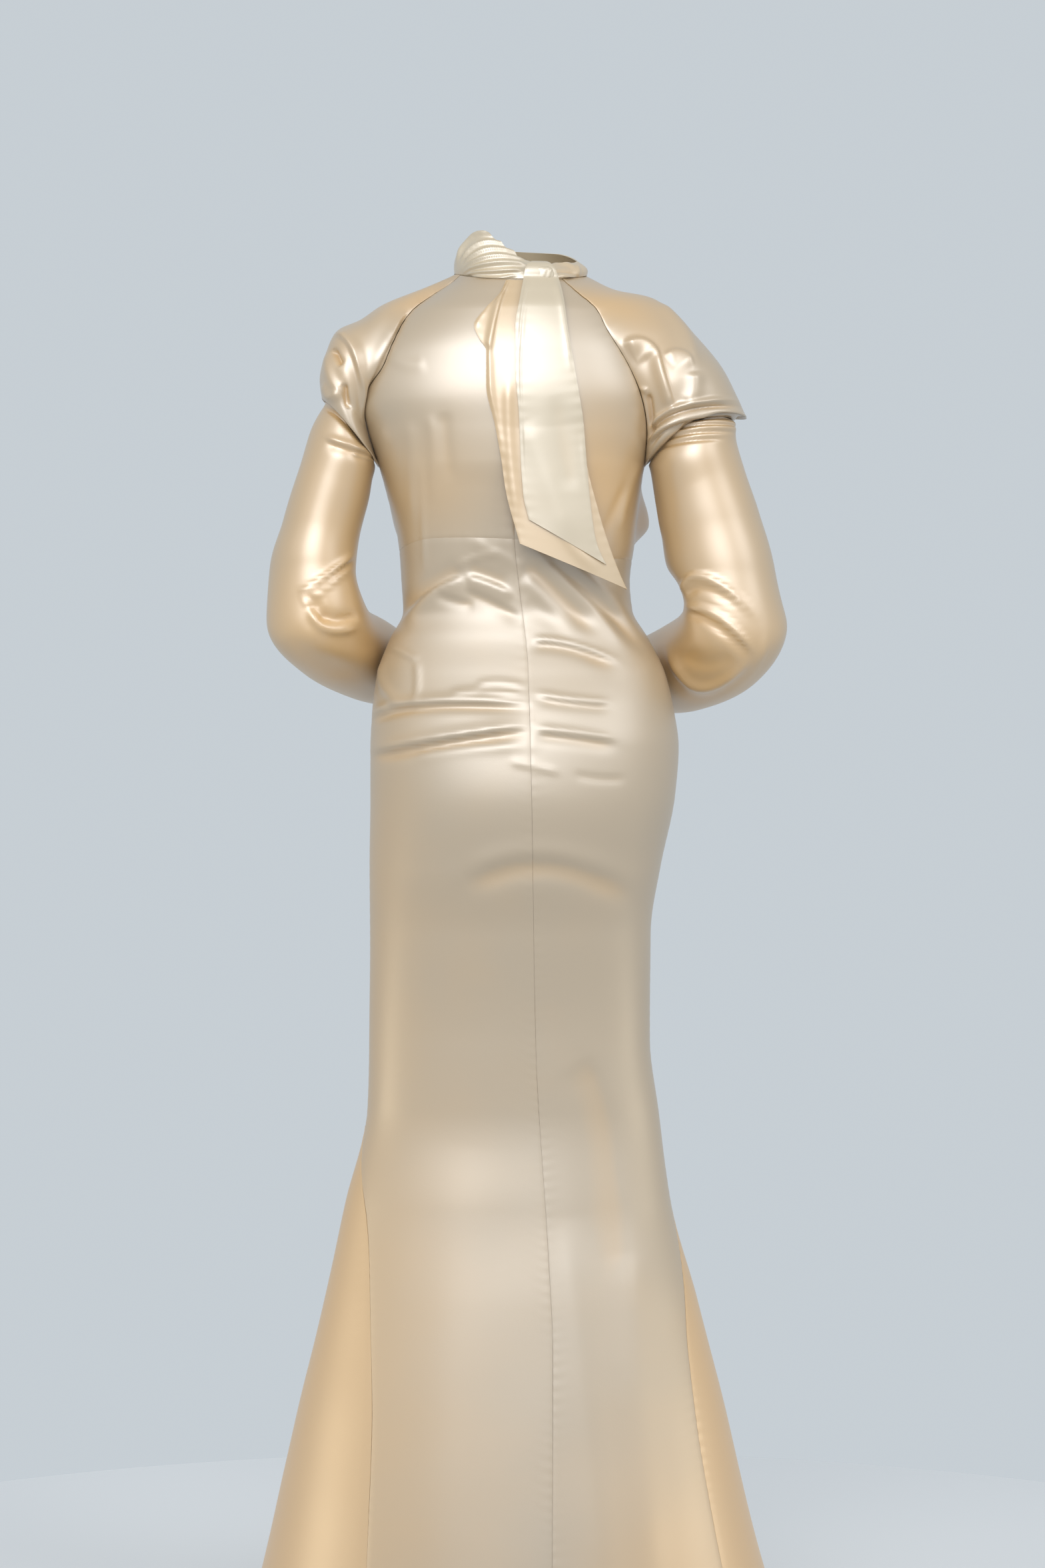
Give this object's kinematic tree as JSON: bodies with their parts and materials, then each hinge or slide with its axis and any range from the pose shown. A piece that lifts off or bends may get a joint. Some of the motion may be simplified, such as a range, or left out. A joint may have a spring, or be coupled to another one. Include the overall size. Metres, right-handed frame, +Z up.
{
  "type": "long-sleeved scarf-neck mermaid gown",
  "caption": "Fitted floor-length satin gown with raglan puffed shoulders, long sleeves, a wrapped collar tied behind with hanging tails, and godets at the hem.",
  "frame": {"origin": "centre of the base of the neck, where the wearer's shoulders hold the gown up", "axes": "+Z up, the front of the gown faces -Y, the wearer's left is +X"},
  "size_m": [0.62, 0.4478, 1.6026],
  "materials": {
    "satin": "smooth champagne satin",
    "scarf_satin": "smooth cream satin",
    "skirt_satin": "lightly hammered champagne satin"
  },
  "bodies": {
    "root": {"bodice_back_left": "satin", "bodice_back_right": "satin", "bodice_front": "satin", "shoulder_left": "satin", "shoulder_right": "satin", "sleeve_left": "satin", "sleeve_right": "satin", "cuff_left": "satin", "cuff_right": "satin", "collar": "scarf_satin", "knot": "scarf_satin", "tail_upper": "scarf_satin", "tail_under": "scarf_satin", "skirt_back_left": "skirt_satin", "skirt_back_right": "skirt_satin", "skirt_front": "skirt_satin", "godet_left": "skirt_satin", "godet_right": "skirt_satin"}
  },
  "joints": []
}
